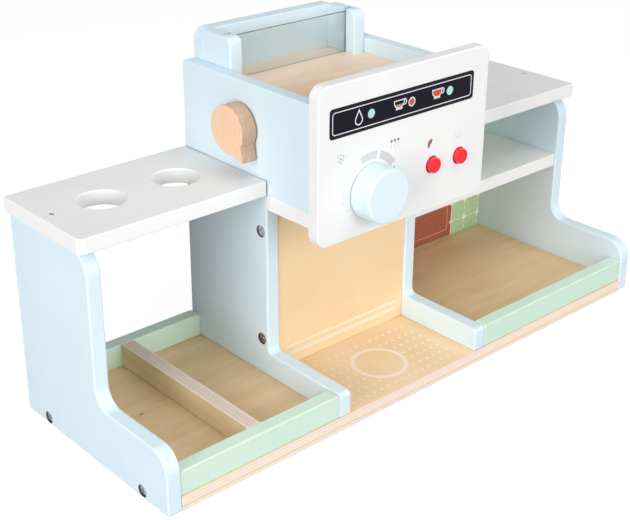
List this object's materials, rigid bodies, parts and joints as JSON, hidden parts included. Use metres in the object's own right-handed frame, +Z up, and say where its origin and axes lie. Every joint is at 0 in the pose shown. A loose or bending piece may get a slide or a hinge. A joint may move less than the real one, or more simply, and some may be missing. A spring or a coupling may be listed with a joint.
{
  "type": "toy coffee bar",
  "caption": "Boarded toy coffee machine stand with storage bays, cup holes, a bean hopper, and a control panel with a turning dial and sprung push buttons.",
  "frame": {"origin": "centre of the footprint's bounding box, on the ground", "axes": "+X to the right along the stand, +Y to the back, +Z up"},
  "size_m": [0.401, 0.139, 0.206],
  "materials": {
    "pale_blue_paint": "satin pale blue paint on board",
    "white_paint": "satin white paint on board",
    "mint_paint": "satin mint paint on board",
    "plywood": "clear-coated plywood",
    "beech": "waxed beech",
    "red_paint": "gloss red paint on turned wood",
    "dial_paint": "satin pale blue paint on turned wood",
    "tan_print": "tan printed board",
    "tile_print": "printed board",
    "clear_acrylic": "clear polished acrylic",
    "label_film": "satin printed film",
    "steel": "dark zinc-plated steel"
  },
  "bodies": {
    "cabinet": {"base_board": "plywood", "left_side_panel": "pale_blue_paint", "right_side_panel": "pale_blue_paint", "left_inner_panel": "pale_blue_paint", "right_inner_panel": "pale_blue_paint", "left_counter_top": "white_paint", "right_counter_top": "white_paint", "right_shelf": "white_paint", "centre_board": "white_paint", "centre_back_panel": "tan_print", "right_back_panel": "tile_print", "left_rear_rail": "mint_paint", "left_front_rail": "mint_paint", "right_front_rail": "mint_paint", "bay_divider": "plywood", "housing_left_wall": "pale_blue_paint", "housing_right_wall": "pale_blue_paint", "housing_back_panel": "pale_blue_paint", "tray_floor": "plywood", "hopper_left_cheek": "pale_blue_paint", "hopper_right_cheek": "pale_blue_paint", "hopper_window": "clear_acrylic", "control_panel": "white_paint", "display_label": "label_film", "left_button_spring": "steel", "right_button_spring": "steel", "button_block": "plywood", "button_block_screws": "steel", "side_panel_screws": "steel", "inner_panel_screws": "steel", "counter_screws": "steel", "shelf_screws": "steel", "base_screws": "steel", "counter_dowels": "beech", "panel_dowels": "beech"},
    "dial": {"dial_knob": "dial_paint", "dial_axle": "beech", "dial_collar": "beech"},
    "side_knob": {"side_knob": "beech", "side_knob_axle": "beech", "side_knob_collar": "beech"},
    "left_button": {"left_button": "red_paint"},
    "right_button": {"right_button": "red_paint"}
  },
  "joints": [
    {"name": "dial_turn", "type": "hinge", "parent": "cabinet", "child": "dial", "pos_m": [-0.0437, -0.0505, 0.1348], "axis": [0, 1, 0], "continuous": true},
    {"name": "side_knob_turn", "type": "hinge", "parent": "cabinet", "child": "side_knob", "pos_m": [-0.074, 0.0141, 0.162], "axis": [1, 0, 0], "continuous": true},
    {"name": "left_button_press", "type": "slide", "parent": "cabinet", "child": "left_button", "axis": [0, 1, 0], "range_m": [0, 0.0025], "stiffness_N_per_m": 250, "springref_m": -0.001, "deforming": ["left_button_spring"]},
    {"name": "right_button_press", "type": "slide", "parent": "cabinet", "child": "right_button", "axis": [0, 1, 0], "range_m": [0, 0.0025], "stiffness_N_per_m": 250, "springref_m": -0.001, "deforming": ["right_button_spring"]}
  ]
}
